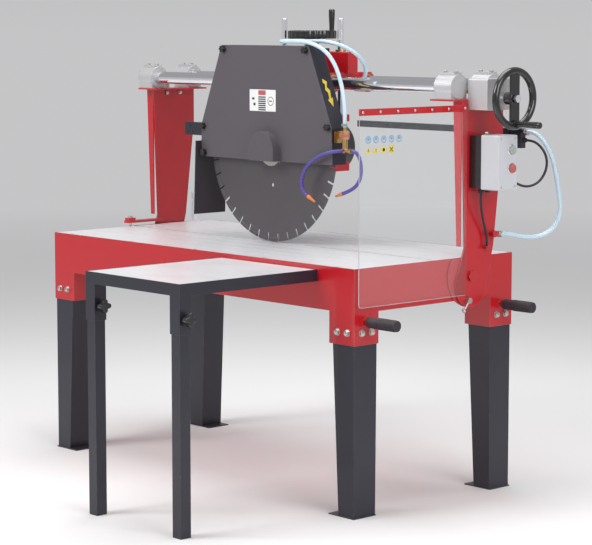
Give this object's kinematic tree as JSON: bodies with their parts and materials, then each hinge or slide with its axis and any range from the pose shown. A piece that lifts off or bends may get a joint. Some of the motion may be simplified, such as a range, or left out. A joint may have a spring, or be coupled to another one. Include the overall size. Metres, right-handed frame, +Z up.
{
  "type": "bridge saw",
  "caption": "Wet bridge saw with a tilting bridge, a sliding lifting head, a 700 mm disc and a water tub.",
  "frame": {"origin": "on the floor under the middle of the machine's box", "axes": "+X along the rails towards the right handwheel, +Y from the operator to the back, +Z up"},
  "size_m": [2.0662, 1.5559, 1.75],
  "materials": {
    "red_paint": "gloss",
    "black_paint": "satin",
    "guard_grey": "satin",
    "galvanised": "satin",
    "zinc": "satin",
    "blade_steel": "satin",
    "chrome_steel": "polished",
    "cast_aluminium": "satin",
    "motor_grey": "satin",
    "brass": "satin",
    "black_plastic": "gloss",
    "box_grey": "matte",
    "green_plastic": "gloss",
    "stop_red": "gloss",
    "hose_blue": "satin",
    "arm_purple": "satin",
    "clear_sheet": "polished",
    "black_rubber": "matte",
    "nozzle_orange": "satin",
    "label_white": "satin",
    "marking_yellow": "satin",
    "marking_blue": "satin"
  },
  "bodies": {
    "frame": {"water_tub": "red_paint", "legs": "black_paint", "frame_bolts": "zinc", "carry_grips": "black_rubber", "table_front": "galvanised", "table_rear": "galvanised", "pivot_plates": "red_paint", "extension_frame": "black_paint", "extension_top": "galvanised", "water_pump": "black_plastic", "angle_scale": "galvanised"},
    "ext_leg_left": {"extension_leg_left": "black_paint"},
    "ext_leg_right": {"extension_leg_right": "black_paint"},
    "ext_knob_left": {"extension_knob_left": "black_plastic"},
    "ext_knob_right": {"extension_knob_right": "black_plastic"},
    "bridge": {"column_left": "red_paint", "column_right": "red_paint", "rail_front": "chrome_steel", "rail_rear": "chrome_steel", "rail_clamps": "cast_aluminium", "bridge_bolts": "zinc", "drive_housing": "cast_aluminium", "curtain_bar": "red_paint", "splash_curtain": "clear_sheet", "box_base": "black_plastic", "box_cover": "box_grey", "cable_arm": "black_paint", "feed_hose": "hose_blue", "box_cable": "black_rubber", "pump_cable": "black_rubber"},
    "start": {"start_button": "green_plastic"},
    "stop": {"stop_button": "stop_red"},
    "lock_left": {"tilt_lock_left": "zinc"},
    "lock_right": {"tilt_lock_right": "zinc"},
    "cross_screw": {"traverse_screw": "zinc", "screw_gear": "zinc"},
    "cross_wheel": {"traverse_wheel": "black_plastic", "wheel_shaft": "chrome_steel"},
    "cross_grip": {"traverse_grip": "black_plastic"},
    "carriage": {"carriage_frame": "red_paint", "carriage_bushes": "brass", "lift_bearing": "black_paint"},
    "height_wheel": {"lift_wheel": "black_plastic"},
    "height_grip": {"lift_grip": "black_plastic"},
    "head": {"guide_rods": "chrome_steel", "lift_screw": "zinc", "motor_plate": "red_paint", "motor_body": "motor_grey", "fan_cover": "motor_grey", "guard_shell": "black_paint", "guard_plate": "guard_grey", "guard_knobs": "black_plastic", "splash_flap": "black_rubber", "water_valve": "brass", "coolant_arms": "arm_purple", "head_hose": "hose_blue"},
    "valve": {"valve_lever": "stop_red"},
    "blade": {"blade_disc": "blade_steel", "blade_segments": "blade_steel", "arbor": "zinc"}
  },
  "joints": [
    {"name": "bridge_tilt", "type": "hinge", "parent": "frame", "child": "bridge", "pos_m": [0, 0.47, 0.8], "axis": [-1, 0, 0], "range_deg": [0, 45]},
    {"name": "ext_leg_left_slide", "type": "slide", "parent": "frame", "child": "ext_leg_left", "axis": [0, 0, 1], "range_m": [0, 0.05]},
    {"name": "ext_leg_right_slide", "type": "slide", "parent": "frame", "child": "ext_leg_right", "axis": [0, 0, 1], "range_m": [0, 0.05]},
    {"name": "ext_knob_left_turn", "type": "hinge", "parent": "frame", "child": "ext_knob_left", "pos_m": [0.111, -0.689, 0.735], "axis": [1, 0, 0], "continuous": true},
    {"name": "ext_knob_right_turn", "type": "hinge", "parent": "frame", "child": "ext_knob_right", "pos_m": [0.568, -0.689, 0.735], "axis": [1, 0, 0], "continuous": true},
    {"name": "start_press", "type": "slide", "parent": "bridge", "child": "start", "axis": [-1, 0, 0], "range_m": [0, 0.004], "stiffness_N_per_m": 800},
    {"name": "stop_press", "type": "slide", "parent": "bridge", "child": "stop", "axis": [-1, 0, 0], "range_m": [0, 0.004], "stiffness_N_per_m": 800},
    {"name": "lock_left_turn", "type": "hinge", "parent": "bridge", "child": "lock_left", "pos_m": [-0.995, 0.45, 0.714], "axis": [1, 0, 0], "range_deg": [0, 60]},
    {"name": "lock_right_turn", "type": "hinge", "parent": "bridge", "child": "lock_right", "pos_m": [0.745, 0.45, 0.714], "axis": [1, 0, 0], "range_deg": [0, 60]},
    {"name": "carriage_slide", "type": "slide", "parent": "bridge", "child": "carriage", "axis": [1, 0, 0], "range_m": [-0.45, 0.39]},
    {"name": "cross_wheel_turn", "type": "hinge", "parent": "bridge", "child": "cross_wheel", "pos_m": [0.9, 0.505, 1.436], "axis": [1, 0, 0], "range_deg": [-3250, 3250]},
    {"name": "cross_screw_turn", "type": "hinge", "parent": "bridge", "child": "cross_screw", "pos_m": [0, 0.4762, 1.4576], "axis": [1, 0, 0], "range_deg": [-3250, 3250]},
    {"name": "cross_grip_turn", "type": "hinge", "parent": "cross_wheel", "child": "cross_grip", "pos_m": [0.97, 0.505, 1.346], "axis": [1, 0, 0], "continuous": true},
    {"name": "head_lift", "type": "slide", "parent": "carriage", "child": "head", "axis": [0, 0, 1], "range_m": [-0.04, 0.08]},
    {"name": "height_wheel_turn", "type": "hinge", "parent": "carriage", "child": "height_wheel", "pos_m": [-0.12485, 0.505, 1.653], "axis": [0, 0, 1], "range_deg": [-730, 1450]},
    {"name": "height_grip_turn", "type": "hinge", "parent": "height_wheel", "child": "height_grip", "pos_m": [-0.07182, 0.55803, 1.69], "axis": [0, 0, 1], "continuous": true},
    {"name": "valve_turn", "type": "hinge", "parent": "head", "child": "valve", "pos_m": [0.26415, 0.29, 1.29], "axis": [0, 1, 0], "range_deg": [0, 90]},
    {"name": "blade_spin", "type": "hinge", "parent": "head", "child": "blade", "pos_m": [-0.12485, 0.302, 1.22], "axis": [0, 1, 0], "continuous": true}
  ],
  "couplings": [
    {"joint": "cross_wheel_turn", "follows": "carriage_slide", "rad_per_m": 125.66},
    {"joint": "cross_screw_turn", "follows": "carriage_slide", "rad_per_m": -125.66},
    {"joint": "height_wheel_turn", "follows": "head_lift", "rad_per_m": 314.16}
  ]
}
